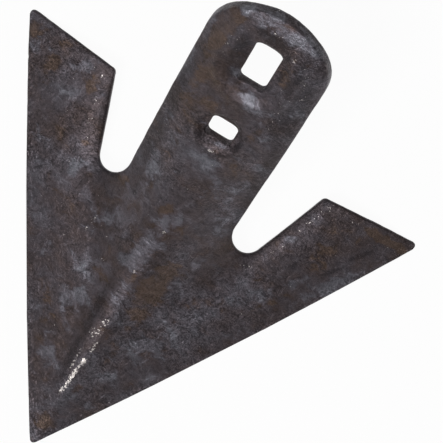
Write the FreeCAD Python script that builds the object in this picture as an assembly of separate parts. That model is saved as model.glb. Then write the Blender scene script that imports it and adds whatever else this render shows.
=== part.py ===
import FreeCAD, Part
import math
import os

# Cultivator sweep: one forged piece, a pointed blade with two wings and a bolt-on stem.
# The nose points along -Y, the stem climbs towards +Y, and X = 0 is the plane of symmetry.
# It rests on the ground land under its cutting edges, at Z = 0.  Lengths are in millimetres.
# While it is built, the cutting edges' lines meet at Y = 0; at the end it is centred.

# Blade seen from above
cutting_width = 231.0
point_half_angle = math.radians(31.5)
cutting_edge_bow = 2.1
nose_radius = 1.8
wing_tip_radius = 2.2
trailing_edge_sweep = 5.6
wing_root_half_width = 61.0
wing_root_radius = 2.4

# Plate, and section of the wings
plate_thickness = 7.0
cutting_edge_land = 1.1
wing_angle = math.radians(25.0)
wing_crowning = 0.0024
edge_taper_width = 15.0
edge_taper_slope = 0.08
edge_taper_softness = 4.0
inner_roll_width = 10.0
inner_roll_slope = 0.72

# Notches between the wings and the stem
notch_radius = 8.6
notch_depth = 50.2
notch_flare = math.radians(20.3)

# Crest line, from the nose over the crown into the stem
nose_slope = math.radians(15.5)
nose_rise = 2.4
nose_rise_start = 4.0
nose_rise_length = 34.0
crown_lead = 58.3
crown_radius = 154.0
stem_angle = math.radians(47.0)

# Section of the crest and crown
ridge_rounding = 5.0
ridge_length = 20.0
ridge_softness = 1.0
crest_start = 16.0
crest_widening = 0.07
crest_softness = 3.0
crown_flank_slope = 1.0
crown_softness = 6.0
fold_softness = 4.6

# Stem
stem_width = 59.2
stem_length = 110.9
stem_flat_width = 34.0
stem_margin_slope = 0.5
stem_shape_lead = 5.0
stem_shape_length = 40.0
side_fall_slope = 2.3
side_fall_gap = 1.5
side_fall_lead = 20.0
side_fall_length = 34.0
stem_end_roll = 12.0
stem_end_slope = math.radians(28.0)
stem_end_flatness = 4.7
stem_corner_radius = 24.0

# Square bolt hole and slot, placed along the stem, each in a countersunk dish
upper_hole_setback = 27.9
hole_spacing = 44.5
hole_width = 13.2
upper_hole_length = 25.1
hole_corner_radius = 2.4
dish_depth = 3.3
dish_step = 0.4
lower_rim_rounding = 3.0
upper_rim_rounding = 5.0
dish_rim_height = 0.1
dish_rim_share = 0.8
lower_dish_radius = 14.6
upper_dish_radius = 19.0

# Edges rounded in the forging dies
edge_radius = 1.5

# Control net of the formed plate, and room left round it by the cutting tools
net_margin = 9.0
net_columns = 24
net_rows = 50
net_grading = 2.2
slope_step = 2.0
tool_room = 25.0
tool_height = 300.0
match_distance = 0.1

up = FreeCAD.Vector(0, 0, 1)


def ramp(distance, softness):
    """Rounded ramp: nearly nought below zero, the distance itself above it."""
    return 0.5 * (distance + math.hypot(distance, softness))


def ease(value, start, length):
    """Smooth step from 0 at the start to 1 a length further on."""
    share = min(max((value - start) / length, 0.0), 1.0)
    return share * share * (3.0 - 2.0 * share)


def arc_climb(run, radius, slope):
    """Height climbed over a horizontal run on an arc that starts at a slope."""
    return radius * (math.cos(slope) - math.sqrt(1.0 - (math.sin(slope) + run / radius) ** 2))


# Worked out from the sizes above
stem_half = stem_width / 2.0
wing_half = cutting_width / 2.0
wing_reach = wing_half + net_margin
wing_tip_y = wing_half / math.tan(point_half_angle)
trailing_edge_slant = trailing_edge_sweep / (wing_half - wing_root_half_width)
notch_bottom = wing_tip_y - notch_depth
inner_roll_reach = 1.5 * inner_roll_width
crown_start = notch_bottom - crown_lead
crown_end = crown_start + crown_radius * (math.sin(stem_angle) - math.sin(nose_slope))
crown_start_height = crown_start * math.tan(nose_slope) + nose_rise
crown_end_height = crown_start_height + arc_climb(crown_end - crown_start, crown_radius, nose_slope)
stem_end = crown_end + stem_length * math.cos(stem_angle)
stem_end_radius = stem_half + stem_end_flatness
lower_hole_station = stem_end - (upper_hole_setback + hole_spacing) * math.cos(stem_angle)
rear_limit = stem_end + tool_room


def crest_height(y):
    """Height of the crest line: steeper at the nose, rising arc, straight stem, end rolled back."""
    if y < crown_start:
        return y * math.tan(nose_slope) + nose_rise * ease(y, nose_rise_start, nose_rise_length)
    if y < crown_end:
        return crown_start_height + arc_climb(y - crown_start, crown_radius, nose_slope)
    height = crown_end_height + (y - crown_end) * math.tan(stem_angle)
    past_roll = max(0.0, y - (stem_end - stem_end_roll))
    slope_change = math.tan(stem_angle) - math.tan(stem_end_slope)
    return height - 0.5 * slope_change * past_roll ** 2 / stem_end_roll


def notch_distance(x, y):
    """Distance seen from above from a point on a wing to the nearest notch edge."""
    across = abs(x) - stem_half - notch_radius
    along = y - notch_bottom - notch_radius
    if along < -across * math.tan(notch_flare):
        return math.hypot(across, along) - notch_radius
    return across * math.cos(notch_flare) - along * math.sin(notch_flare) - notch_radius


def wing_height(x, y):
    """Top face of a wing: tapered cutting edge, slight crowning, inner edge rolled down."""
    spread = math.hypot(x, ridge_rounding * ease(y, 0.0, ridge_length))
    inward = (y * math.tan(point_half_angle) - spread) * math.cos(point_half_angle)
    height = cutting_edge_land + inward * (math.tan(wing_angle) + edge_taper_slope)
    height -= edge_taper_slope * ramp(inward - edge_taper_width, edge_taper_softness)
    height -= 0.5 * wing_crowning * inward ** 2
    on_wing = ease(abs(x), stem_half + 0.5 * notch_radius, 1.5 * notch_radius)
    roll = min(max(inner_roll_width - notch_distance(x, y), 0.0), inner_roll_reach)
    return height - on_wing * 0.5 * inner_roll_slope * roll ** 2 / inner_roll_width


def stem_height(x, y):
    """Top face of the crown and stem: flat crest, sloping flanks, and a steep fall past them."""
    to_stem = ease(y, crown_end - stem_shape_lead, stem_shape_length)
    crown_half = crest_widening * max(y - crest_start, 0.0)
    crest_half = crown_half + (0.5 * stem_flat_width - crown_half) * to_stem
    flank = crown_flank_slope + (stem_margin_slope - crown_flank_slope) * to_stem
    softness = crest_softness + (crown_softness - crest_softness) * ease(y, 0.0, crown_end)
    fall = side_fall_slope * ease(y, notch_bottom - side_fall_lead, side_fall_length)
    past_side = ramp(abs(x) - stem_half - side_fall_gap, crest_softness)
    return crest_height(y) - flank * ramp(abs(x) - crest_half, softness) - fall * past_side


def skin_height(x, y):
    """Top face of the formed plate: the wings and the stem, run together in a soft fold."""
    softness = ridge_softness + (fold_softness - ridge_softness) * ease(y, 0.0, crown_end)
    stem = stem_height(x, y)
    return stem + ramp(wing_height(x, y) - stem, softness)


def steepness(x, y):
    """How much longer an upright cut through the plate is than its thickness."""
    slope_x = skin_height(x + slope_step, y) - skin_height(x - slope_step, y)
    slope_y = skin_height(x, y + slope_step) - skin_height(x, y - slope_step)
    return math.hypot(1.0, 0.5 * slope_x / slope_step, 0.5 * slope_y / slope_step)


def net_positions():
    """Columns of the net, closer together at the crest, and evenly spaced rows."""
    scale = wing_reach / math.sinh(net_grading)
    steps = range(-net_columns, net_columns + 1)
    columns = [scale * math.sinh(net_grading * step / net_columns) for step in steps]
    length = stem_end + 2.0 * net_margin
    rows = [-net_margin + length * row / net_rows for row in range(net_rows + 1)]
    return columns, rows


def spline_face(poles):
    """Smooth cubic face held by a control net."""
    surface = Part.BSplineSurface()
    counts = (len(poles), len(poles[0]))
    knots = [[float(knot) for knot in range(count - 2)] for count in counts]
    mults = [[4] + [1] * (count - 4) + [4] for count in counts]
    surface.buildFromPolesMultsKnots(poles, mults[0], mults[1], knots[0], knots[1], False, False, 3, 3)
    return surface.toShape()


def formed_plate():
    """Formed plate before trimming, between its top face and the underside one thickness below."""
    columns, rows = net_positions()
    top = [[FreeCAD.Vector(x, y, skin_height(x, y)) for y in rows] for x in columns]
    under = [[p - up * (plate_thickness * steepness(p.x, p.y)) for p in line] for line in top]
    faces = [spline_face(top), spline_face(under)]
    for upper, lower in zip(faces[0].Edges, faces[1].Edges):
        faces.append(Part.makeRuledSurface(upper, lower))
    shell = Part.makeShell(faces)
    shell.sewShape()
    solid = Part.makeSolid(shell)
    if solid.Volume < 0:
        solid.reverse()
    return solid


def flat_point(side, x, y):
    """Point of an outline at the foot of the upright tools, on one side of the symmetry plane."""
    return FreeCAD.Vector(side * x, y, -0.5 * tool_height)


def upright_prism(edges):
    """Upright tool raised on a closed outline."""
    wire = Part.Wire(Part.__sortEdges__(edges))
    return Part.Face(wire).extrude(up * tool_height)


def lines(points):
    """Straight edges from point to point."""
    return [Part.makeLine(first, last) for first, last in zip(points, points[1:])]


def upright_edges(solid, x, y):
    """Upright edges of a tool that stand at a place seen from above, on either side."""
    found = []
    for edge in solid.Edges:
        box = edge.BoundBox
        upright = box.ZLength > net_margin and max(box.XLength, box.YLength) < match_distance
        if upright and math.hypot(abs(box.XMin) - x, box.YMin - y) < match_distance:
            found.append(edge)
    return found


def trailing_edge_y(x):
    """Line of a wing's trailing edge seen from above."""
    return wing_tip_y - trailing_edge_slant * (wing_half - x)


def notch_flare_x(y):
    """Distance from the plane of symmetry to a notch's flared outer side."""
    leave_x = stem_half + notch_radius * (1.0 + math.cos(notch_flare))
    leave_y = notch_bottom + notch_radius * (1.0 - math.sin(notch_flare))
    return leave_x + (y - leave_y) * math.tan(notch_flare)


def wing_root():
    """Sharp corner where a notch's flared side meets the trailing edge."""
    start_y = trailing_edge_y(notch_flare_x(0.0))
    y = start_y / (1.0 - trailing_edge_slant * math.tan(notch_flare))
    return notch_flare_x(y), y


def notch_prism(side):
    """Open-ended notch: straight along the stem, round at the bottom, flared to the rear."""
    centre_x = stem_half + notch_radius
    centre_y = notch_bottom + notch_radius
    leave_y = centre_y - notch_radius * math.sin(notch_flare)
    start = flat_point(side, stem_half, centre_y)
    bottom = flat_point(side, centre_x, notch_bottom)
    leave = flat_point(side, notch_flare_x(leave_y), leave_y)
    far = flat_point(side, notch_flare_x(rear_limit), rear_limit)
    near = flat_point(side, stem_half, rear_limit)
    round_bottom = Part.Arc(start, bottom, leave).toShape()
    return upright_prism([round_bottom] + lines([leave, far, near, start]))


def rear_prism():
    """Everything in front of the trailing edges, with the stem, less the two notches."""
    edges = []
    for side in (1.0, -1.0):
        edges += lines([
            flat_point(side, 0.0, -net_margin),
            flat_point(side, wing_reach, -net_margin),
            flat_point(side, wing_reach, trailing_edge_y(wing_reach)),
            flat_point(side, stem_half, trailing_edge_y(stem_half)),
            flat_point(side, stem_half, rear_limit),
            flat_point(side, 0.0, rear_limit),
        ])
    prism = upright_prism(edges).cut([notch_prism(1.0), notch_prism(-1.0)]).removeSplitter()
    return prism.makeFillet(wing_root_radius, upright_edges(prism, *wing_root()))


def front_prism():
    """Everything inside the bowed cutting edges and the rounded nose."""
    half_edge = 0.5 * math.hypot(wing_half, wing_tip_y)
    bow_x = half_edge * math.sin(point_half_angle) + cutting_edge_bow * math.cos(point_half_angle)
    bow_y = half_edge * math.cos(point_half_angle) - cutting_edge_bow * math.sin(point_half_angle)
    nose_angle = point_half_angle + 2.0 * math.atan(cutting_edge_bow / half_edge)
    nose_x = nose_radius * math.cos(nose_angle)
    nose_y = nose_radius * (1.0 / math.sin(nose_angle) - math.sin(nose_angle))
    nose_front = flat_point(1.0, 0.0, nose_radius * (1.0 / math.sin(nose_angle) - 1.0))
    nose_sides = [flat_point(side, nose_x, nose_y) for side in (1.0, -1.0)]
    edges = [Part.Arc(nose_sides[0], nose_front, nose_sides[1]).toShape()]
    for side, nose in zip((1.0, -1.0), nose_sides):
        tip = flat_point(side, wing_half, wing_tip_y)
        edges.append(Part.Arc(nose, flat_point(side, bow_x, bow_y), tip).toShape())
        edges += lines([tip, flat_point(side, wing_half, rear_limit), flat_point(side, 0.0, rear_limit)])
    return upright_prism(edges)


def tip_waste(side):
    """What the rounded wing tip leaves off its sharp corner."""
    tip = flat_point(side, wing_half, wing_tip_y)
    along_edge = (flat_point(side, 0.0, 0.0) - tip).normalize()
    along_trail = (flat_point(side, 0.0, trailing_edge_y(0.0)) - tip).normalize()
    inward = (along_edge + along_trail).normalize()
    half_corner = 0.5 * along_edge.getAngle(along_trail)
    setback = wing_tip_radius / math.tan(half_corner)
    middle = tip + inward * (wing_tip_radius / math.sin(half_corner) - wing_tip_radius)
    first = tip + along_edge * setback
    last = tip + along_trail * setback
    rounding = Part.Arc(first, middle, last).toShape()
    return upright_prism([rounding] + lines([last, tip - inward * setback, first]))


def on_stem(shape, along):
    """Put a shape made flat on the stem's top face, at a distance up from the lower hole."""
    station = lower_hole_station + along * math.cos(stem_angle)
    place = FreeCAD.Vector(0, station, crown_end_height + (station - crown_end) * math.tan(stem_angle))
    turn = FreeCAD.Rotation(FreeCAD.Vector(1, 0, 0), math.degrees(stem_angle))
    moved = shape.copy()
    moved.Placement = FreeCAD.Placement(place, turn)
    return moved


def centred_block(width, front, rear, bottom, top):
    """Block that is centred across the stem."""
    return Part.makeBox(width, rear - front, top - bottom, FreeCAD.Vector(-0.5 * width, front, bottom))


def stem_end_waste():
    """What is trimmed off square to the stem, round the arch of its end."""
    height = 0.5 * tool_height
    end = (stem_end - lower_hole_station) / math.cos(stem_angle)
    centre_y = end - stem_end_radius
    shoulder_y = centre_y + math.sqrt(stem_end_radius ** 2 - stem_half ** 2)
    stem = centred_block(stem_width, -end, centre_y, -height, height)
    disc = Part.makeCylinder(stem_end_radius, 2.0 * height, FreeCAD.Vector(0, centre_y, -height))
    arch = stem.fuse(disc.common(centred_block(stem_width, -end, end, -height, height))).removeSplitter()
    arch = arch.makeFillet(stem_corner_radius, upright_edges(arch, stem_half, shoulder_y))
    room_width = stem_width + 2.0 * tool_room
    room = centred_block(room_width, centre_y, end + tool_room, -0.5 * height, 0.5 * height)
    return on_stem(room.cut(arch), 0.0)


def rounded_hole(length):
    """Tool for a bolt hole with rounded corners."""
    block = centred_block(hole_width, -0.5 * length, 0.5 * length, -tool_room, tool_room)
    corners = [edge for edge in block.Edges if edge.BoundBox.ZLength > tool_room]
    return block.makeFillet(hole_corner_radius, corners)


def dish_profile(radius, rim_rounding):
    """Half section of a countersunk dish, from its axis out to a rounded rim."""
    floor = 0.5 * hole_width + dish_step
    rounding = min(rim_rounding, dish_rim_share * (radius - floor))
    centre = FreeCAD.Vector(radius, 0, dish_rim_height - rounding)
    foot = FreeCAD.Vector(floor, 0, -dish_depth)
    to_centre = centre - foot
    slope = math.atan2(to_centre.z, to_centre.x) + math.asin(rounding / to_centre.Length)
    turns = (slope, 0.5 * slope, 0.0)
    rim = [centre + FreeCAD.Vector(-math.sin(turn), 0, math.cos(turn)) * rounding for turn in turns]
    axis = [FreeCAD.Vector(0, 0, tool_room), FreeCAD.Vector(0, 0, -dish_depth)]
    edges = lines([rim[2], FreeCAD.Vector(radius, 0, tool_room)] + axis + [foot, rim[0]])
    return Part.Face(Part.Wire([Part.Arc(*rim).toShape()] + edges))


def dish(radius, rim_rounding, straight):
    """Dish round a hole: turned ends, and the same section drawn along between them."""
    section = dish_profile(radius, rim_rounding)
    if straight == 0.0:
        return section.revolve(FreeCAD.Vector(0, 0, 0), up, 360)
    front = FreeCAD.Vector(0, -0.5 * straight, 0)
    section.translate(front)
    half = section.revolve(front, up, -180).fuse(section.extrude(front * -2.0))
    other = half.copy()
    other.rotate(FreeCAD.Vector(0, 0, 0), up, 180)
    return half.fuse(other).removeSplitter()


def outline_edges(solid):
    """Edges round the trimmed outline of the top face and of the underside."""
    faces = [face for face in solid.Faces if face.Surface.TypeId == "Part::GeomBSplineSurface"]
    found = []
    for skin in sorted(faces, key=lambda face: -face.Area)[:2]:
        for edge in max(skin.Wires, key=lambda wire: wire.Length).Edges:
            box = edge.BoundBox
            nearest = min(abs(box.XMin), abs(box.XMax))
            on_blank_side = nearest > wing_half and box.XLength < net_margin
            on_blank_front = box.YMax < 0.0
            if not on_blank_side and not on_blank_front:
                found.append(edge)
    return found


def bolt_tools():
    """Cutting tools for the two bolt holes and their dishes, in place on the stem."""
    return [
        on_stem(rounded_hole(hole_width), 0.0),
        on_stem(dish(lower_dish_radius, lower_rim_rounding, 0.0), 0.0),
        on_stem(rounded_hole(upper_hole_length), hole_spacing),
        on_stem(dish(upper_dish_radius, upper_rim_rounding, upper_hole_length - hole_width), hole_spacing),
    ]


def sweep():
    """The finished forging, centred over the origin."""
    solid = formed_plate().common(rear_prism()).cut(stem_end_waste()).Solids[0].removeSplitter()
    solid = solid.makeFillet(edge_radius, outline_edges(solid))
    ground = centred_block(tool_height, -net_margin, tool_height, -tool_height, 0.0)
    solid = solid.cut(ground).common(front_prism())
    for tool in [tip_waste(1.0), tip_waste(-1.0)] + bolt_tools():
        solid = solid.cut(tool)
    piece = solid.Solids[0]
    box = piece.optimalBoundingBox(True, False)
    piece.translate(FreeCAD.Vector(0, -0.5 * (box.YMin + box.YMax), 0))
    return piece


if __name__ == "__main__":
    os.makedirs("parts", exist_ok=True)
    sweep().exportStep("parts/sweep.step")
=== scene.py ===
"""Dresses the cultivator sweep: one forged steel piece with dark mill scale, lit as on a pale table."""

import logging
import math
from dataclasses import dataclass, field
from enum import Enum
from typing import Any, Union

import bmesh
import bpy
import numpy as np
from mathutils import Matrix, Vector


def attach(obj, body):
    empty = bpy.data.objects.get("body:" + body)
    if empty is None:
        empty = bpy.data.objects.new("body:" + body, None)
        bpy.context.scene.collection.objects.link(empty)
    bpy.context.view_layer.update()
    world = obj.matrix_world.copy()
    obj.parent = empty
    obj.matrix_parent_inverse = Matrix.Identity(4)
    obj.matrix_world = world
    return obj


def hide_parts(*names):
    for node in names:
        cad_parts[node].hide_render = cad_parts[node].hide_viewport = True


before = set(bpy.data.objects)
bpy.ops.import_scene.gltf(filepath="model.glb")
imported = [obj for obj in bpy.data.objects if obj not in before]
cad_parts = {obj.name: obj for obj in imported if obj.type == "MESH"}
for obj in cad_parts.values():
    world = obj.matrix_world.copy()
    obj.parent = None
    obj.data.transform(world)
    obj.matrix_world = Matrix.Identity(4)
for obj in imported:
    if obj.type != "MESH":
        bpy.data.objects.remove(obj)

log = logging.getLogger("cultivator_sweep")

Operand = Union["Wire", float]
Place = tuple[float, float, float]
Colour = tuple[float, float, float, float]
Span = tuple[float, float]
Stops = tuple[tuple[float, Colour], ...]
Settings = dict[str, Any]
Inputs = dict[Union[int, str], Any]

MM = 0.001
WHITE: Colour = (1.0, 1.0, 1.0, 1.0)
NOISE_MIDDLE = 0.5


class Wire:
    """A shader socket that takes part in Python arithmetic by adding Math nodes."""

    def __init__(self, shader: "Shader", socket: bpy.types.NodeSocket) -> None:
        """Wraps an output socket of one of the shader's nodes."""
        self.shader = shader
        self.socket = socket

    def _math(self, operation: str, *values: Operand) -> "Wire":
        """One Math node on the given values."""
        return self.shader.node("ShaderNodeMath", {"operation": operation}, dict(enumerate(values)))

    def __add__(self, other: Operand) -> "Wire":
        """Sum."""
        return self._math("ADD", self, other)

    def __radd__(self, other: Operand) -> "Wire":
        """Sum, reflected."""
        return self._math("ADD", other, self)

    def __sub__(self, other: Operand) -> "Wire":
        """Difference."""
        return self._math("SUBTRACT", self, other)

    def __rsub__(self, other: Operand) -> "Wire":
        """Difference, reflected."""
        return self._math("SUBTRACT", other, self)

    def __mul__(self, other: Operand) -> "Wire":
        """Product."""
        return self._math("MULTIPLY", self, other)

    def __rmul__(self, other: Operand) -> "Wire":
        """Product, reflected."""
        return self._math("MULTIPLY", other, self)

    def larger(self, other: Operand) -> "Wire":
        """The larger of two values."""
        return self._math("MAXIMUM", self, other)

    def clipped(self) -> "Wire":
        """The value kept between 0 and 1."""
        return self._math("MINIMUM", self, 1.0).larger(0.0)

    def stepped(self, span: Span) -> "Wire":
        """Smooth step from 0 at the span's start to 1 at its end."""
        inputs = {"Value": self, "From Min": span[0], "From Max": span[1]}
        return self.shader.node("ShaderNodeMapRange", {"interpolation_type": "SMOOTHSTEP"}, inputs)


@dataclass(frozen=True)
class Texture:
    """Layer of fractal noise.

    Attributes:
        scale: Features per metre.
        octaves: Number of octaves.
        rough: Share that each octave keeps.
        warp: Distortion of its shapes.
        squeeze: How much narrower its shapes are along Y than along X.
        turn: Turn of the noise below the piece about Z, in degrees.
        offset: Where the noise is moved to, in metres; with the turn it keeps layers from lining up.
    """

    scale: float
    octaves: float
    rough: float = 0.5
    warp: float = 0.0
    offset: Place = (0.0, 0.0, 0.0)
    turn: float = 0.0
    squeeze: float = 1.0


class Tone(Enum):
    """What a mark on the skin consists of; the value names the attribute that holds it on the mesh.

    The blue tone is blue-grey scale, and painted highlight on the stem's rolled end and on the upper dish's
    wall on the nose's side;
    brown is rust bloom; the soot tone is dark scale and dirt, and painted shade in the folds beside the
    crest, on the dish walls, on the wings' rolled and back edges, along the stem's sides and on the edge of
    its end; the pale tone is rubbed scale, and painted highlight where the blue one is; worn is bright specks
    of bare steel.
    """

    # Blue-grey scale, and painted highlight in a few places.
    BLUE = "blue"
    BROWN = "brown"
    # Dark scale and dirt, and painted shade in folds, on dish walls and along edges.
    SOOT = "soot"
    # Rubbed scale, and painted highlight in a few places.
    PALE = "pale"
    WORN = "worn"


class Shader:
    """Builds one material's nodes; mix_share and the like are the colour sockets of a Mix node, by number."""

    mix_share = 0
    mix_below = 6
    mix_above = 7
    mix_result = 2

    def __init__(self, name: str) -> None:
        """Starts an empty node material.

        Args:
            name: The material's name.
        """
        self.material = bpy.data.materials.new(name)
        self.material.use_nodes = True
        self.tree = self.material.node_tree
        self.tree.nodes.clear()

    def _add(self, kind: str, settings: Settings, inputs: Inputs) -> bpy.types.Node:
        """Adds a node, sets it and then joins its inputs.

        Args:
            kind: The node's type.
            settings: Its own settings, such as an operation; stops are a colour ramp's.
            inputs: Values or wires for its sockets, by name or number.

        Returns:
            The node.
        """
        made = self.tree.nodes.new(kind)
        for key, value in settings.items():
            if key == "stops":
                self._set_stops(made.color_ramp, value)
            else:
                setattr(made, key, value)
        for key, value in inputs.items():
            if isinstance(value, Wire):
                self.tree.links.new(value.socket, made.inputs[key])
            else:
                made.inputs[key].default_value = value
        return made

    @staticmethod
    def _set_stops(ramp: bpy.types.ColorRamp, stops: Stops) -> None:
        """Gives a colour ramp its stops.

        Args:
            ramp: The ramp, which starts with two stops.
            stops: Place and colour of each stop.
        """
        while len(ramp.elements) < len(stops):
            ramp.elements.new(stops[-1][0])
        for element, (place, colour) in zip(ramp.elements, stops):
            element.position = place
            element.color = colour

    def node(self, kind: str, settings: Settings, inputs: Inputs, output: int | str = 0) -> Wire:
        """Adds a node as _add does, and gives its output of that name or number."""
        return Wire(self, self._add(kind, settings, inputs).outputs[output])

    def finish(self, surface: Wire) -> None:
        """Joins the finished surface to the material's output."""
        self._add("ShaderNodeOutputMaterial", {}, {"Surface": surface})

    def mix(self, share: Wire, below: Wire, above: Colour) -> Wire:
        """Lays one colour over another.

        Args:
            share: How much of the colour above shows.
            below: The colour below.
            above: The colour above.

        Returns:
            The mixed colour.
        """
        settings = {"data_type": "RGBA", "clamp_result": True}
        inputs = {self.mix_share: share, self.mix_below: below, self.mix_above: above}
        return self.node("ShaderNodeMix", settings, inputs, self.mix_result)

    def noise(self, place: Wire, texture: Texture, output: str = "Fac") -> Wire:
        """Fractal noise, about 0.5 on average.

        Args:
            place: The position that it reads.
            texture: Its sizes, and how it is moved, turned and squeezed.
            output: Fac for a value, or Color for three at once.

        Returns:
            The noise.
        """
        laid = self.node("ShaderNodeMapping", {"vector_type": "POINT"}, {
            "Vector": place,
            "Location": texture.offset,
            "Rotation": (0.0, 0.0, math.radians(texture.turn)),
            "Scale": (1.0, texture.squeeze, 1.0),
        })
        return self.node("ShaderNodeTexNoise", {}, {
            "Vector": laid,
            "Scale": texture.scale,
            "Detail": texture.octaves,
            "Roughness": texture.rough,
            "Distortion": texture.warp,
        }, output)

    def swing(self, place: Wire, texture: Texture) -> Wire:
        """Fractal noise that swings about 0."""
        return self.noise(place, texture) - NOISE_MIDDLE

    def painted(self, tone: Tone) -> Wire:
        """How strongly the tone is painted on the mesh."""
        return self.node("ShaderNodeAttribute", {"attribute_name": tone.value}, {}, "Fac")

    def warped(self, place: Wire, unrest: Texture, reach: float) -> Wire:
        """Position moved about at random, so that a pattern that reads it gets ragged.

        Args:
            place: The position.
            unrest: The noise that moves it.
            reach: How far the noise moves it, in metres.

        Returns:
            The new position.
        """
        middle = (NOISE_MIDDLE, NOISE_MIDDLE, NOISE_MIDDLE)
        random = self.noise(place, unrest, "Color")
        centred = self.node("ShaderNodeVectorMath", {"operation": "SUBTRACT"}, {0: random, 1: middle})
        inputs = {0: centred, 1: (reach, reach, reach), 2: place}
        return self.node("ShaderNodeVectorMath", {"operation": "MULTIPLY_ADD"}, inputs)


@dataclass(frozen=True)
class Mark:
    """Ragged oval mark on the skin, seen from above.

    Attributes:
        tone: What it consists of; some soot marks are painted shade, and some blue and pale marks painted
            highlight.
        x: Place of its middle across the blade, in millimetres.
        y: Place of its middle along the blade, in millimetres.
        length: Half its length, in millimetres.
        width: Half its width, in millimetres.
        turn: Turn of its length from X, in degrees.
        strength: How strongly it covers the steel.
        reach: How many half sizes out it has faded away.
    """

    tone: Tone
    x: float
    y: float
    length: float
    width: float
    turn: float
    strength: float
    reach: float = 1.5

    def share(self, x: np.ndarray, y: np.ndarray) -> np.ndarray:
        """How strongly the mark lies on points.

        Args:
            x: The points' positions across the blade, in millimetres.
            y: Their positions along it.

        Returns:
            The strength inside the oval, fading to 0 round it.
        """
        turn = math.radians(self.turn)
        along = ((x - self.x) * math.cos(turn) + (y - self.y) * math.sin(turn)) / self.length
        across = ((y - self.y) * math.cos(turn) - (x - self.x) * math.sin(turn)) / self.width
        return self.strength * np.clip(self.reach - np.hypot(along, across), 0.0, 1.0)


@dataclass(frozen=True)
class Layers:
    """Textures of the steel's skin, from broad to fine, and the edges of its marks.

    A value named edge is the span of the noise, or of a mark's strength, over which a shape sets in.

    Attributes:
        unrest: Noise that moves the shapes of the other textures about.
        unrest_reach: How far it moves them.
        coarse: Areas where the scale is coarse, against smooth ones.
        patches: Broad change of colour.
        shade: Clouds of lighter and darker scale.
        streaks: Ragged change of colour inside the patches.
        swirls: Flakes of scale, some millimetres wide.
        swirl_middle: Value of the flakes' edge that leaves the steel as light as it is.
        mottle: Small spots.
        flecks: Small flakes.
        fleck_middle: Value of the small flakes' edge that leaves the steel as light as it is.
        curls: Fine curls, strongest in the coarse areas.
        specks: Points where the steel can shine through.
        grain: The finest grain.
        ragged_streaks: How far the streaks fray the edges of blue, brown and pale marks, painted highlights
            among them.
        ragged_mottle: How far the mottle frays them.
        ragged_soot_and_shade: How far the mottle frays the edges of soot and of painted shade.
        worn_specks: How much more bare steel a worn mark lays open.
    """

    unrest: Texture = Texture(130.0, 4.0)
    unrest_reach: float = 9.0 * MM
    coarse: Texture = Texture(30.0, 3.0)
    coarse_edge: Span = (0.42, 0.60)
    patches: Texture = Texture(36.0, 5.0, 0.55)
    shade: Texture = Texture(60.0, 10.0, 0.68, offset=(0.1, 0.8, 0.4))
    streaks: Texture = Texture(85.0, 5.0, offset=(0.2, 0.4, 0.1), turn=35.0, squeeze=1.7)
    swirls: Texture = Texture(150.0, 6.0, 0.55, 1.2, (0.4, 0.6, 0.2), 50.0, 1.5)
    swirl_edge: Span = (0.43, 0.59)
    swirl_middle: float = 0.5
    mottle: Texture = Texture(270.0, 6.0, 0.62, offset=(0.7, 0.1, 0.2), turn=-20.0, squeeze=1.5)
    flecks: Texture = Texture(330.0, 5.0, 0.6, 1.6, (0.5, 0.3, 0.9), 15.0, 1.4)
    fleck_edge: Span = (0.42, 0.60)
    fleck_middle: float = 0.4
    curls: Texture = Texture(520.0, 4.0, 0.65, 1.5, (0.9, 0.2, 0.6), 60.0, 2.0)
    specks: Texture = Texture(950.0, 4.0, 0.6)
    grain: Texture = Texture(1100.0, 5.0, 0.75)
    ragged_streaks: float = 2.4
    ragged_mottle: float = 1.4
    ragged_soot_and_shade: float = 1.6
    tone_edge: Span = (0.30, 0.85)
    pale_and_sheen_edge: Span = (0.30, 0.95)
    soot_and_shade_edge: Span = (0.20, 0.75)
    worn_specks: float = 0.24
    bare_edge: Span = (0.70, 0.77)


class Skin:
    """The steel's textures and marks as wires, from which the finish is mixed."""

    def __init__(self, shader: Shader, layers: Layers) -> None:
        """Lays the textures and marks on the piece.

        Args:
            shader: The material's shader.
            layers: The textures, and the spans over which their shapes and the marks set in.
        """
        place = shader.node("ShaderNodeTexCoord", {}, {}, "Object")
        bent = shader.warped(place, layers.unrest, layers.unrest_reach)
        self.coarse = shader.noise(bent, layers.coarse).stepped(layers.coarse_edge)
        self.patches = shader.swing(bent, layers.patches)
        self.shade = shader.swing(bent, layers.shade)
        self.streaks = shader.swing(bent, layers.streaks)
        self.swirls = shader.noise(bent, layers.swirls).stepped(layers.swirl_edge) - layers.swirl_middle
        self.mottle = shader.swing(bent, layers.mottle)
        self.flecks = shader.noise(place, layers.flecks).stepped(layers.fleck_edge) - layers.fleck_middle
        self.curls = shader.swing(bent, layers.curls)
        self.grain = shader.swing(place, layers.grain)
        ragged = self.streaks * layers.ragged_streaks + self.mottle * layers.ragged_mottle
        # Some blue and pale marks are painted highlight, and some soot marks are painted shade.
        self.blue = (shader.painted(Tone.BLUE) + ragged).stepped(layers.tone_edge)
        self.brown = (shader.painted(Tone.BROWN) - ragged).stepped(layers.tone_edge)
        self.pale = (shader.painted(Tone.PALE) + ragged).stepped(layers.pale_and_sheen_edge)
        self.soot = (shader.painted(Tone.SOOT) + self.mottle * layers.ragged_soot_and_shade).stepped(layers.soot_and_shade_edge)
        specks = shader.noise(place, layers.specks) + shader.painted(Tone.WORN) * layers.worn_specks
        self.bare = specks.stepped(layers.bare_edge)


@dataclass(frozen=True)
class Areal:
    """Strength of a texture on smooth steel, and what coarse areas add to it."""

    smooth: float
    added: float

    def on(self, skin: Skin) -> Wire:
        """The strength at each place."""
        return self.smooth + skin.coarse * self.added


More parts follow.
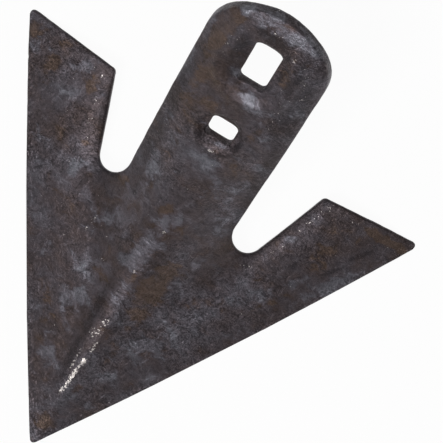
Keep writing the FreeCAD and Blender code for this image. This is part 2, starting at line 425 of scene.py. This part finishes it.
@dataclass(frozen=True)
class Hue:
    """What moves the steel along its ramp of colours, from brown at the low end to blue-grey at the high."""

    middle: float = 0.515
    patches: float = 0.46
    streaks: float = 0.30
    blue: float = 0.12
    pale: float = 0.04
    brown: float = 0.14

    def on(self, skin: Skin) -> Wire:
        """The place on the ramp."""
        tones = skin.blue * self.blue + skin.pale * self.pale - skin.brown * self.brown
        return self.middle + skin.patches * self.patches + skin.streaks * self.streaks + tones


@dataclass(frozen=True)
class Lightness:
    """What makes the steel's colour lighter or darker, painted shade and painted highlights among it; the
    least factor keeps pits from going black.
    """

    middle: float = 1.0
    least: float = 0.50
    patches: float = 0.45
    shade: float = 0.8
    mottle: float = 1.3
    # The blue and pale weights also lighten painted highlights, and the soot weight darkens painted shade.
    blue: float = 0.13
    pale: float = 0.27
    soot: float = 0.45
    swirls: Areal = Areal(0.10, 0.18)
    flecks: Areal = Areal(0.14, 0.24)
    curls: Areal = Areal(0.8, 3.4)
    grain: Areal = Areal(1.5, 1.5)

    def on(self, skin: Skin) -> Wire:
        """The factor on the colour.

        Args:
            skin: The textures and marks.

        Returns:
            The factor, about 1 on average.
        """
        broad = skin.patches * self.patches + skin.shade * self.shade + skin.mottle * self.mottle
        tones = skin.blue * self.blue + skin.pale * self.pale - skin.soot * self.soot
        shapes = skin.swirls * self.swirls.on(skin) + skin.flecks * self.flecks.on(skin)
        fine = skin.curls * self.curls.on(skin) + skin.grain * self.grain.on(skin)
        return (self.middle + broad + tones + shapes + fine).larger(self.least)


@dataclass(frozen=True)
class Gloss:
    """Roughness and metallic share of the steel, and what changes them."""

    rough: float = 0.42
    rough_grain: float = 0.4
    rough_mottle: float = 0.3
    rough_bare: float = 0.06
    metal: float = 0.72
    metal_bare: float = 0.28
    metal_brown: float = 0.15

    def roughness(self, skin: Skin) -> Wire:
        """The roughness, lower on bare steel."""
        polish = skin.grain * self.rough_grain + skin.mottle * self.rough_mottle + skin.bare * self.rough_bare
        return (self.rough - polish).clipped()

    def metallic(self, skin: Skin) -> Wire:
        """The metallic share, full on bare steel and lower on rust."""
        return (self.metal + skin.bare * self.metal_bare - skin.brown * self.metal_brown).clipped()


@dataclass(frozen=True)
class Relief:
    """Fine unevenness of the scale, and how much each texture gives to it."""

    depth: float = 0.6 * MM
    grain: float = 0.3
    mottle: float = 1.1
    shade: float = 0.9

    def normal(self, shader: Shader, skin: Skin) -> Wire:
        """The normal, bent by the unevenness."""
        height = skin.grain * self.grain + skin.mottle * self.mottle + skin.shade * self.shade
        return shader.node("ShaderNodeBump", {}, {"Strength": 1.0, "Distance": self.depth, "Height": height})


@dataclass(frozen=True)
class ForgedSteel:
    """Dark mill scale on forged, heat-treated steel, with rust bloom, worn bright spots, painted shade and
    painted highlights.

    Attributes:
        hues: The ramp of colours, from brown to blue-grey.
        bare: Colour of bare steel.
        specular: Specular level of the scale.
        layers: The textures.
        hue: What moves the steel along the ramp.
        lightness: What makes it lighter or darker.
        gloss: Its roughness and metallic share.
        relief: Its fine unevenness.
        end_shade: How strongly shade is painted on the edge of the stem's end.
        end_facing: The normal's Y at which that painted shade sets in; it is full at twice that.
        marks: The marks on the top side, painted shade and painted highlights among them.
    """

    hues: Stops = (
        (0.36, (0.102, 0.070, 0.057, 1.0)),
        (0.45, (0.086, 0.066, 0.067, 1.0)),
        (0.53, (0.091, 0.077, 0.086, 1.0)),
        (0.62, (0.112, 0.104, 0.120, 1.0)),
        (0.72, (0.135, 0.133, 0.152, 1.0)),
    )
    bare: Colour = (0.80, 0.74, 0.71, 1.0)
    specular: float = 0.3
    layers: Layers = Layers()
    hue: Hue = Hue()
    lightness: Lightness = Lightness()
    gloss: Gloss = Gloss()
    relief: Relief = Relief()
    end_shade: float = 0.8
    end_facing: float = 0.3
    marks: tuple[Mark, ...] = (
        # The crest, from the nose up.
        Mark(Tone.WORN, 0, -77, 9, 1.2, 88, 1.3),
        Mark(Tone.WORN, -1, -85, 2.5, 1, 88, 1.2),
        Mark(Tone.WORN, 1, -67, 3, 1.2, 88, 1.3),
        Mark(Tone.WORN, -3, -67, 9, 1.0, 92, 0.7),
        Mark(Tone.WORN, 1.5, -58, 3, 1.6, 80, 0.9),
        Mark(Tone.WORN, -1, -52, 5, 3.0, 90, 0.6),
        Mark(Tone.WORN, 0.5, -44, 3, 2.0, 90, 0.7),
        Mark(Tone.WORN, -0.5, -15, 1.5, 0.8, 90, 0.9),
        Mark(Tone.WORN, 1.5, 9, 1.5, 0.8, 0, 1.0),
        Mark(Tone.BLUE, 0, -28, 11, 4.5, 88, 0.6),
        Mark(Tone.PALE, 2, 14, 10, 5, 80, 1.0),
        Mark(Tone.PALE, -2, -3, 14, 6, 85, 0.9),
        Mark(Tone.PALE, -13, -27, 10, 6, 120, 1.0),
        Mark(Tone.BLUE, -2, -1, 15, 6.5, 85, 1.0),
        Mark(Tone.BLUE, -8, -12, 5, 3.5, 60, 0.8),
        Mark(Tone.BLUE, 2, 13, 8, 4.5, 80, 0.8),
        Mark(Tone.BROWN, 0.5, -17, 2.5, 1.5, 90, 0.6),
        Mark(Tone.BROWN, 5, -82, 7, 2.5, 88, 0.8),
        Mark(Tone.BROWN, 0, -104, 7, 6, 0, 0.7),
        # Painted shade in the fold left of the crest.
        Mark(Tone.SOOT, -7, -42, 22, 2.5, 95, 0.65),
        Mark(Tone.SOOT, -6, -66, 14, 2.2, 95, 0.7),
        Mark(Tone.SOOT, 0, -107, 6, 5, 0, 0.35),
        # Painted shade in the fold right of the crest.
        Mark(Tone.SOOT, 6, -41, 8, 2.2, 82, 0.55),
        Mark(Tone.SOOT, -10.5, -3, 2, 1.2, 0, 0.8),
        # The blade left of the crest.
        Mark(Tone.BLUE, -21, -41, 9, 7, 150, 0.7),
        Mark(Tone.BLUE, -15, -57, 5, 2.5, 140, 0.7),
        Mark(Tone.BLUE, -16, -74, 8, 5, 130, 0.8),
        Mark(Tone.BLUE, -28, 0, 9, 6, 75, 0.5),
        Mark(Tone.PALE, -14, -50, 4, 2, 110, 0.7),
        Mark(Tone.PALE, -21, -41, 8, 6, 150, 0.3),
        Mark(Tone.PALE, -19, 12, 15, 6, 95, 0.9),
        Mark(Tone.PALE, -15, -70, 6, 4, 130, 0.4),
        Mark(Tone.PALE, -24, -22, 4, 3, 110, 0.6),
        Mark(Tone.PALE, -29, 0, 6, 4, 150, 0.6),
        Mark(Tone.WORN, -31, -4, 4, 1.2, 100, 0.45),
        Mark(Tone.WORN, -31, -9, 3, 1.5, 0, 0.45),
        Mark(Tone.WORN, -21, -7, 3, 1.0, 130, 0.5),
        Mark(Tone.WORN, -18, -18, 2, 1.0, 0, 0.5),
        Mark(Tone.BROWN, -28, -55, 8, 4, 110, 0.6),
        Mark(Tone.BROWN, -37, -42, 5, 4, 120, 0.5),
        Mark(Tone.BROWN, -20, -22, 7, 4, 150, 0.4),
        # The blade right of the crest.
        Mark(Tone.BLUE, 26, -44, 11, 7, 60, 0.9),
        Mark(Tone.BLUE, 18, -63, 5, 2, 90, 0.6),
        Mark(Tone.BLUE, 15, -85, 5, 2.5, 60, 0.5),
        Mark(Tone.BLUE, 47, -3, 8, 3, 50, 0.6),
        Mark(Tone.BLUE, 45, -13, 4, 3, 60, 0.5),
        Mark(Tone.BLUE, 56, 4, 14, 4, 55, 0.6),
        Mark(Tone.PALE, 23, 15.5, 4, 3, 60, 0.9),
        Mark(Tone.PALE, 24, 4, 6, 2.5, 70, 0.6),
        Mark(Tone.PALE, 19.5, -11, 5, 1.5, 45, 0.7),
        Mark(Tone.BROWN, 12, -17, 14, 6.5, 75, 1.2),
        Mark(Tone.BROWN, 14, -30, 8, 5, 60, 0.7),
        Mark(Tone.BROWN, 21, -6, 8, 3, 60, 0.5),
        Mark(Tone.BROWN, 11, -42, 2.5, 2, 0, 0.9),
        Mark(Tone.BROWN, 11, -55, 7, 3, 90, 0.7),
        Mark(Tone.BROWN, 36, -12, 8, 4, 50, 0.6),
        Mark(Tone.BROWN, 64, 5, 8, 2.5, 55, 0.7),
        Mark(Tone.SOOT, 20, -42, 4, 0.8, 40, 0.8),
        Mark(Tone.SOOT, 27, -17, 9, 6, 40, 0.25),
        Mark(Tone.SOOT, 31, 6, 8, 4, 40, 0.25),
        # The left wing, its tip and its rolled edge on the notch.
        Mark(Tone.BROWN, -106, 62, 6, 5, 30, 0.9),
        Mark(Tone.BROWN, -89, 49, 9, 3.5, 100, 0.6),
        Mark(Tone.BROWN, -88, 64, 4, 2.5, 30, 0.6),
        Mark(Tone.BROWN, -66, 52, 5, 3, 100, 1.0),
        Mark(Tone.BROWN, -56, 25, 3, 2, 30, 1.0),
        Mark(Tone.BROWN, -29, 21, 3, 2, 0, 1.0),
        Mark(Tone.BROWN, -15, 26, 3, 1.5, 100, 0.7),
        Mark(Tone.BLUE, -102, 55, 6, 3, 120, 0.8),
        Mark(Tone.BLUE, -75, 57, 7, 3.5, 40, 0.8),
        Mark(Tone.BLUE, -79, 17, 6, 2.5, 120, 0.5),
        Mark(Tone.BLUE, -53, 13, 7, 4, 110, 0.6),
        Mark(Tone.PALE, -73, 42, 8, 5, 60, 0.5),
        Mark(Tone.PALE, -42, 4, 4, 2.5, 100, 0.9),
        Mark(Tone.PALE, -46, 16, 6, 2, 140, 0.6),
        Mark(Tone.PALE, -29, 21.5, 2, 1.5, 0, 1.0),
        Mark(Tone.PALE, -24, 17.5, 4, 2, 120, 0.9),
        Mark(Tone.WORN, -65, 58, 2, 1, 100, 0.42),
        Mark(Tone.WORN, -61, 47, 6, 1.2, 112, 0.4),
        Mark(Tone.WORN, -57, 33, 7, 1.5, 108, 0.34),
        # Painted shade on the rolled-down edge along the notch.
        Mark(Tone.SOOT, -54, 42, 17, 2, 110, 0.9),
        Mark(Tone.SOOT, -36, 20, 6, 1.8, 0, 0.7),
        Mark(Tone.SOOT, -20.5, 18, 1.5, 1, 0, 1.0),
        Mark(Tone.SOOT, -79, 64.5, 4, 1, 0, 0.8),
        # Painted shade along the wing's back edge.
        Mark(Tone.SOOT, -86, 68, 25, 1, 174, 0.5),
        Mark(Tone.SOOT, -68, 16, 9, 5, 140, 0.2),
        Mark(Tone.SOOT, -84, 37, 7, 3, 110, 0.25),
        Mark(Tone.SOOT, -68, 30, 6, 3, 0, 0.3),
        # The right wing, its tip and its rolled edge on the notch.
        Mark(Tone.WORN, 45, 15.5, 4, 1.8, 20, 0.5),
        Mark(Tone.WORN, 50, 22.5, 1, 0.8, 0, 0.8),
        Mark(Tone.WORN, 54, 31, 6, 1.2, 60, 0.45),
        Mark(Tone.WORN, 58.5, 44.5, 1.2, 0.8, 0, 0.8),
        Mark(Tone.WORN, 60.5, 50, 1.5, 1, 60, 0.75),
        Mark(Tone.WORN, 62, 53, 4, 1.2, 60, 0.55),
        Mark(Tone.WORN, 64.5, 60, 4, 1.2, 50, 0.5),
        Mark(Tone.WORN, 81, 62.5, 4, 1.5, 10, 0.5),
        Mark(Tone.BLUE, 56, 38, 4, 2, 60, 0.7),
        Mark(Tone.BLUE, 72, 23, 6, 3, 60, 0.7),
        Mark(Tone.BLUE, 86, 27, 22, 4, 57, 0.6),
        Mark(Tone.BROWN, 76, 36, 5, 4, 30, 0.8),
        Mark(Tone.BROWN, 74, 44, 5, 4, 30, 0.5),
        Mark(Tone.BROWN, 79, 55, 6, 3, 30, 0.6),
        Mark(Tone.BROWN, 97, 63, 13, 3, 5, 0.8),
        # Painted shade on the rolled-down edge along the notch.
        Mark(Tone.SOOT, 53, 43, 22, 2.8, 66, 0.95),
        Mark(Tone.SOOT, 56, 46, 18, 3, 66, 0.4),
        Mark(Tone.SOOT, 45, 24, 6, 2, 30, 0.7),
        Mark(Tone.SOOT, 67, 39, 2.5, 1.5, 0, 0.9),
        Mark(Tone.SOOT, 84, 36, 7, 1.2, 50, 0.8),
        Mark(Tone.SOOT, 92, 50, 7, 1.4, 52, 0.8),
        # Painted shade along the wing's back edge.
        Mark(Tone.SOOT, 90, 67.5, 24, 1.2, 6, 0.6),
        Mark(Tone.SOOT, 65, 28, 4, 2, 60, 0.4),
        # The stem between the notches and round the lower dish.
        Mark(Tone.BLUE, -18, 35, 12, 4, 95, 0.5),
        Mark(Tone.BLUE, 11, 37, 7, 4, 90, 0.6),
        Mark(Tone.BLUE, 20, 38, 8, 4, 92, 0.4),
        Mark(Tone.BLUE, 23, 27, 8, 4, 95, 0.5),
        Mark(Tone.BLUE, 3, 48, 8, 2.5, 5, 0.6),
        Mark(Tone.BLUE, 13, 54, 6, 3, 60, 0.6),
        Mark(Tone.BLUE, 22, 56, 11, 3, 90, 0.5),
        Mark(Tone.BLUE, -24, 53, 10, 3, 92, 0.4),
        Mark(Tone.BLUE, -17, 63, 7, 4, 60, 0.4),
        Mark(Tone.BLUE, 3, 57, 3, 2, 0, 0.4),
        Mark(Tone.BROWN, -15, 49, 5, 1.8, 110, 0.7),
        Mark(Tone.BROWN, 14, 68, 5, 2.5, 60, 0.8),
        Mark(Tone.BROWN, -3, 19, 4, 2.5, 70, 0.8),
        Mark(Tone.WORN, 0.5, 52, 2.2, 0.8, 5, 1.1),
        # Painted shade on the walls of the lower dish.
        Mark(Tone.SOOT, -9, 57, 6, 1.8, 120, 0.9),
        Mark(Tone.SOOT, 6, 53, 4, 1.2, 30, 0.9),
        Mark(Tone.SOOT, 10.5, 60, 5, 1.3, 80, 0.85),
        # The stem round the upper dish, up to its end.
        # Painted highlight: the pale and blue marks at y 106 to 110 light the stem's rolled end, those near y
        # 80 the upper dish's wall on the nose's side.
        Mark(Tone.PALE, -10, 108, 9, 3.5, 12, 0.9),
        Mark(Tone.PALE, 2, 110, 11, 4, 0, 1.5),
        Mark(Tone.PALE, 12, 106, 7, 3.8, 145, 1.1),
        Mark(Tone.PALE, 3, 80, 11, 3.5, 155, 0.75),
        Mark(Tone.BLUE, -2, 108, 18, 5, 0, 0.7),
        Mark(Tone.BLUE, 0, 81, 12, 5, 160, 0.6),
        Mark(Tone.BROWN, -22, 98, 10, 5, 80, 1.2),
        Mark(Tone.BROWN, -10, 70.5, 6, 2.5, 10, 0.8),
        Mark(Tone.BROWN, -21, 73, 9, 4.5, 95, 0.7),
        Mark(Tone.BROWN, -24, 83, 8, 4, 90, 0.5),
        Mark(Tone.BROWN, 12, 92, 8, 2.5, 92, 0.6),
        Mark(Tone.WORN, 11.5, 101, 2, 1.2, 150, 0.55),
        Mark(Tone.WORN, 19, 97, 6, 1.5, 115, 0.42),
        Mark(Tone.WORN, 23, 90.5, 1.5, 1, 90, 0.7),
        Mark(Tone.WORN, 17, 80, 8, 3, 100, 0.34),
        Mark(Tone.WORN, -17, 93, 4, 1.2, 100, 0.42),
        Mark(Tone.WORN, -14.5, 97.5, 2.5, 1.2, 20, 0.42),
        Mark(Tone.WORN, 0, 106, 3, 1, 0, 0.4),
        # Painted shade on the walls of the upper dish.
        Mark(Tone.SOOT, -10.5, 92, 9, 3.5, 95, 0.95),
        Mark(Tone.SOOT, -1, 103.5, 10, 2, 176, 0.95),
        Mark(Tone.SOOT, 10, 95, 6, 2, 100, 0.6),
        Mark(Tone.SOOT, 7, 87, 3, 2, 20, 0.7),
        # Painted shade along the stem's sloping sides.
        Mark(Tone.SOOT, 24, 101, 9, 3, 115, 0.55),
        Mark(Tone.SOOT, -26, 106, 4, 2, 40, 0.5),
        Mark(Tone.SOOT, -26, 58, 30, 4, 92, 0.7),
        Mark(Tone.SOOT, 27, 52, 26, 4, 92, 0.65),
        Mark(Tone.SOOT, 24, 84, 18, 5, 92, 0.8),
        Mark(Tone.SOOT, 20, 76, 10, 5, 100, 0.6),
        Mark(Tone.SOOT, 16, 95, 12, 4, 92, 0.55),
    )

    def paint(self, mesh: bpy.types.Mesh) -> None:
        """Stores on each point of the top side how strongly the marks of every tone lie there.

        Args:
            mesh: The mesh, whose points get one attribute for each tone.
        """
        count = len(mesh.vertices)
        places = np.empty(3 * count)
        normals = np.empty(3 * count)
        mesh.vertices.foreach_get("co", places)
        mesh.vertices.foreach_get("normal", normals)
        places = places.reshape(count, 3) / MM
        normals = normals.reshape(count, 3)
        on_top = normals[:, 2] > 0.0
        # Painted shade on the edge of the stem's end, where the normal turns up the stem.
        shaded_end = np.clip(normals[:, 1] / self.end_facing - 1.0, 0.0, 1.0)
        for tone in Tone:
            share = self.end_shade * shaded_end if tone is Tone.SOOT else np.zeros(count)
            for mark in (mark for mark in self.marks if mark.tone is tone):
                share = np.maximum(share, mark.share(places[:, 0], places[:, 1]))
            layer = mesh.attributes.new(tone.value, "FLOAT", "POINT")
            layer.data.foreach_set("value", share * on_top)

    def material(self) -> bpy.types.Material:
        """Builds the material.

        Returns:
            The finished material.
        """
        shader = Shader("forged_steel")
        skin = Skin(shader, self.layers)
        hue = shader.node("ShaderNodeValToRGB", {"stops": self.hues}, {"Fac": self.hue.on(skin)}, "Color")
        lit = {0: hue, "Scale": self.lightness.on(skin)}
        colour = shader.node("ShaderNodeVectorMath", {"operation": "SCALE"}, lit)
        surface = shader.node("ShaderNodeBsdfPrincipled", {}, {
            "Base Color": shader.mix(skin.bare, colour, self.bare),
            "Roughness": self.gloss.roughness(skin),
            "Metallic": self.gloss.metallic(skin),
            "Specular IOR Level": self.specular,
            "Normal": self.relief.normal(shader, skin),
        })
        shader.finish(surface)
        return shader.material


@dataclass(frozen=True)
class Lip:
    """Ring raised round a bolt dish, and the dish's wall pressed in a little beside it; sizes are in metres.

    Attributes:
        along: Place of its centre up the stem from the lower hole.
        radius: Radius of its crest.
        width: Width of its swell.
        height: Height of its crest.
        wall_press: How far the wall is pressed in, as a share of the height.
        wall_place: How far inside the crest the wall lies, in widths.
    """

    along: float
    radius: float
    width: float
    height: float
    wall_press: float = 0.6
    wall_place: float = 2.2

    def rise(self, distance: float) -> float:
        """Share of the height by which a point moves that lies this far from the centre."""
        ring = (distance - self.radius) / self.width
        return math.exp(-ring ** 2) - self.wall_press * math.exp(-(ring + self.wall_place) ** 2)


@dataclass
class Forging:
    """The sweep itself: a finely meshed copy of the solid, with the unevenness left by the dies.

    Attributes:
        node: The solid's name.
        weld: Points this near to each other are merged.
        longest_edge: Longer edges are split.
        refining_steps: How often all long edges are split.
        sharp_angle: Edges that turn more than this stay sharp.
        smoothing_factor: How far each smoothing step moves a point.
        smoothing_steps: Number of smoothing steps.
        swell_size: Width of the broad lumps.
        swell_depth: Full height between those lumps and their hollows.
        dent_size: Width of the small lumps.
        dent_depth: Full height between those lumps and their hollows.
        lump_octaves: Octaves of the lumps' noise.
        stem_angle: Slope of the stem.
        lower_hole: Middle of the lower hole's mouth.
        rim_depth: How far below that mouth the middle of the rims lies, square to the stem.
        rim_reach: How far the rims reach up and down from there.
        lips: The soft lips of the two dishes.
    """

    node: str = "sweep"
    weld: float = 0.002 * MM
    longest_edge: float = 1.65 * MM
    refining_steps: int = 6
    sharp_angle: float = math.radians(45.0)
    smoothing_factor: float = 0.5
    smoothing_steps: int = 5
    swell_size: float = 22.0 * MM
    swell_depth: float = 0.5 * MM
    dent_size: float = 6.0 * MM
    dent_depth: float = 0.28 * MM
    lump_octaves: int = 2
    stem_angle: float = math.radians(47.0)
    lower_hole: Vector = field(default_factory=lambda: Vector((0.0, 59.88, 96.11)) * MM)
    rim_depth: float = 1.0 * MM
    rim_reach: float = 3.2 * MM
    lips: tuple[Lip, ...] = (
        Lip(0.0, 11.8 * MM, 1.4 * MM, 0.7 * MM),
        Lip(40.5 * MM, 18.0 * MM, 2.2 * MM, 0.8 * MM),
    )

    def build(self) -> bpy.types.Object:
        """Makes the finished piece.

        Returns:
            The piece, in place.
        """
        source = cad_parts[self.node]
        piece = bpy.data.objects.new("forged_sweep", source.data.copy())
        bpy.context.scene.collection.objects.link(piece)
        bpy.ops.object.select_all(action="DESELECT")
        piece.select_set(True)
        bpy.context.view_layer.objects.active = piece
        self._refine(piece)
        self._group_soft_skin(piece)
        smoothing = {"factor": self.smoothing_factor, "iterations": self.smoothing_steps}
        self._apply(piece, "SMOOTH", smoothing)
        self._dent(piece, "swell", self.swell_size, self.swell_depth)
        self._dent(piece, "dent", self.dent_size, self.dent_depth)
        self._strike_dishes(piece.data)
        bpy.ops.object.shade_smooth_by_angle(angle=self.sharp_angle)
        piece.data.materials.clear()
        steel = ForgedSteel()
        steel.paint(piece.data)
        piece.data.materials.append(steel.material())
        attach(piece, "root")
        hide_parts(self.node)
        return piece

    def _refine(self, piece: bpy.types.Object) -> None:
        """Merges the loose triangles and splits every long edge, until the mesh is fine and even.

        Args:
            piece: The piece, which is the active object.
        """
        bpy.ops.object.mode_set(mode="EDIT")
        bpy.ops.mesh.select_all(action="SELECT")
        bpy.ops.mesh.remove_doubles(threshold=self.weld)
        bpy.ops.mesh.select_mode(type="EDGE")
        for _ in range(self.refining_steps):
            mesh = bmesh.from_edit_mesh(piece.data)
            for edge in mesh.edges:
                edge.select_set(edge.calc_length() > self.longest_edge)
            bmesh.update_edit_mesh(piece.data)
            bpy.ops.mesh.subdivide(number_cuts=1)
            bpy.ops.mesh.select_all(action="SELECT")
            bpy.ops.mesh.quads_convert_to_tris(quad_method="SHORTEST_DIAGONAL", ngon_method="BEAUTY")
            bpy.ops.mesh.select_all(action="DESELECT")
        bpy.ops.object.mode_set(mode="OBJECT")

    def _group_soft_skin(self, piece: bpy.types.Object) -> None:
        """Gathers the points that lie on no sharp edge in the group skin, which may be smoothed and dented.

        Args:
            piece: The piece, which is the active object.
        """
        bpy.ops.object.mode_set(mode="EDIT")
        mesh = bmesh.from_edit_mesh(piece.data)
        sharp = {point.index for edge in mesh.edges if edge.calc_face_angle(math.pi) > self.sharp_angle
                 for point in edge.verts}
        soft = [point.index for point in mesh.verts if point.index not in sharp]
        bpy.ops.object.mode_set(mode="OBJECT")
        piece.vertex_groups.new(name="skin").add(soft, 1.0, "REPLACE")

    @staticmethod
    def _apply(piece: bpy.types.Object, kind: str, settings: dict[str, Any]) -> None:
        """Adds a modifier to the soft skin and applies it.

        Args:
            piece: The piece, which is the active object.
            kind: The modifier's type.
            settings: Its settings.
        """
        modifier = piece.modifiers.new(kind.lower(), kind)
        modifier.vertex_group = "skin"
        for key, value in settings.items():
            setattr(modifier, key, value)
        bpy.ops.object.modifier_apply(modifier=modifier.name)

    def _dent(self, piece: bpy.types.Object, name: str, size: float, depth: float) -> None:
        """Moves the skin in and out by soft noise.

        Args:
            piece: The piece, which is the active object.
            name: Name of the noise.
            size: Width of its lumps.
            depth: Full height between lumps and hollows.
        """
        texture = bpy.data.textures.new(name, "CLOUDS")
        texture.noise_scale = size
        texture.noise_depth = self.lump_octaves
        lumps = {"texture": texture, "strength": depth, "mid_level": NOISE_MIDDLE, "texture_coords": "LOCAL"}
        self._apply(piece, "DISPLACE", lumps)

    def _strike_dishes(self, mesh: bpy.types.Mesh) -> None:
        """Raises the soft lip that the dies left round each bolt dish, and presses its wall in a little.

        Args:
            mesh: The piece's mesh.
        """
        along = Vector((0.0, math.cos(self.stem_angle), math.sin(self.stem_angle)))
        outward = Vector((0.0, -math.sin(self.stem_angle), math.cos(self.stem_angle)))
        for point in mesh.vertices:
            offset = point.co - self.lower_hole
            if abs(offset.dot(outward) + self.rim_depth) > self.rim_reach:
                continue
            for lip in self.lips:
                distance = math.hypot(offset.x, offset.dot(along) - lip.along)
                point.co += outward * lip.height * lip.rise(distance)


@dataclass
class Studio:
    """Pale floor, one soft lamp and the camera above the piece; places and sizes are in metres.

    Attributes:
        camera_place: Where the camera hangs.
        camera_tilt: How far it leans about X and about Y, in degrees.
        camera_roll: How far it is turned about its own line of sight, in degrees.
        lens: Focal length in millimetres.
        sensor: Width of the camera's sensor in millimetres.
        clipping: Nearest and farthest that the camera sees.
        floor_size: Width of the floor.
        floor_height: Height of the floor, just under the piece's lowest point.
        floor_colour: Colour that the floor throws back on the piece.
        floor_glow: How white the camera sees the floor, where 1 would hide the shadow.
        lamp_place: Where the lamp hangs.
        lamp_aim: What it points at.
        lamp_size: Width of its square.
        lamp_power: Its power in watts.
        room_light: Strength of the light from all round.
    """

    camera_place: Place = (4.26 * MM, 19.36 * MM, 860.0 * MM)
    camera_tilt: tuple[float, float] = (0.59, -1.28)
    camera_roll: float = 58.49
    lens: float = 138.4
    sensor: float = 36.0
    clipping: Span = (0.01, 20.0)
    floor_size: float = 6.0
    floor_height: float = -0.3 * MM
    floor_colour: Colour = (0.8, 0.8, 0.8, 1.0)
    floor_glow: float = 0.96
    lamp_place: Place = (-0.13, -0.36, 1.15)
    lamp_aim: Place = (0.0, 0.0, 0.04)
    lamp_size: float = 0.30
    lamp_power: float = 9.0
    room_light: float = 0.16

    def camera(self) -> bpy.types.Object:
        """Sets the camera almost straight above the piece, turned as in the photo.

        Returns:
            The camera.
        """
        data = bpy.data.cameras.new("camera")
        data.sensor_width = self.sensor
        data.lens = self.lens
        data.clip_start, data.clip_end = self.clipping
        camera = bpy.data.objects.new("camera", data)
        bpy.context.scene.collection.objects.link(camera)
        about_x, about_y = (math.radians(angle) for angle in self.camera_tilt)
        tilt = Matrix.Rotation(about_y, 3, "Y") @ Matrix.Rotation(about_x, 3, "X")
        roll = math.radians(self.camera_roll)
        right = tilt @ Vector((math.sin(roll), math.cos(roll), 0.0))
        up = tilt @ Vector((-math.cos(roll), math.sin(roll), 0.0))
        back = tilt @ Vector((0.0, 0.0, 1.0))
        turn = Matrix((right, up, back)).transposed().to_4x4()
        camera.matrix_world = Matrix.Translation(self.camera_place) @ turn
        bpy.context.scene.camera = camera
        return camera

    def floor(self) -> bpy.types.Object:
        """Lays the floor, white to the camera and in the steel's gloss, with the piece's shadow.

        Returns:
            The floor.
        """
        bpy.ops.object.select_all(action="DESELECT")
        bpy.ops.mesh.primitive_plane_add(size=self.floor_size, location=(0.0, 0.0, self.floor_height))
        floor = bpy.context.active_object
        floor.name = "floor"
        shader = Shader("floor")
        path = shader.node("ShaderNodeLightPath", {}, {}, "Is Camera Ray")
        gloss = shader.node("ShaderNodeLightPath", {}, {}, "Is Glossy Ray")
        share = (path + gloss).clipped() * self.floor_glow
        plain = shader.node("ShaderNodeBsdfDiffuse", {}, {"Color": self.floor_colour})
        white = shader.node("ShaderNodeEmission", {}, {"Color": WHITE, "Strength": 1.0})
        shader.finish(shader.node("ShaderNodeMixShader", {}, {0: share, 1: plain, 2: white}))
        floor.data.materials.append(shader.material)
        return floor

    def lamp(self) -> bpy.types.Object:
        """Hangs the soft square lamp on the nose's side, facing the piece.

        Returns:
            The lamp.
        """
        data = bpy.data.lights.new("key", "AREA")
        data.shape = "SQUARE"
        data.size = self.lamp_size
        data.energy = self.lamp_power
        lamp = bpy.data.objects.new("key", data)
        lamp.location = self.lamp_place
        aim = Vector(self.lamp_aim) - Vector(self.lamp_place)
        lamp.rotation_euler = aim.to_track_quat("-Z", "Y").to_euler()
        bpy.context.scene.collection.objects.link(lamp)
        return lamp

    def room(self) -> bpy.types.World:
        """Gives the piece weak white light from all round.

        Returns:
            The world.
        """
        world = bpy.data.worlds.new("room")
        world.use_nodes = True
        background = world.node_tree.nodes["Background"]
        background.inputs["Color"].default_value = WHITE
        background.inputs["Strength"].default_value = self.room_light
        bpy.context.scene.world = world
        return world


def main() -> None:
    """Builds the piece and the studio, in order, and reports each."""
    logging.basicConfig(level=logging.INFO, format="%(message)s")
    bpy.context.scene.view_settings.view_transform = "Standard"
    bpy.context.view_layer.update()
    piece = Forging().build()
    log.info("%s: %d faces", piece.name, len(piece.data.polygons))
    studio = Studio()
    for stage in (studio.floor(), studio.lamp(), studio.room(), studio.camera()):
        log.info("%s ready", stage.name)


if __name__ == "__main__":
    main()
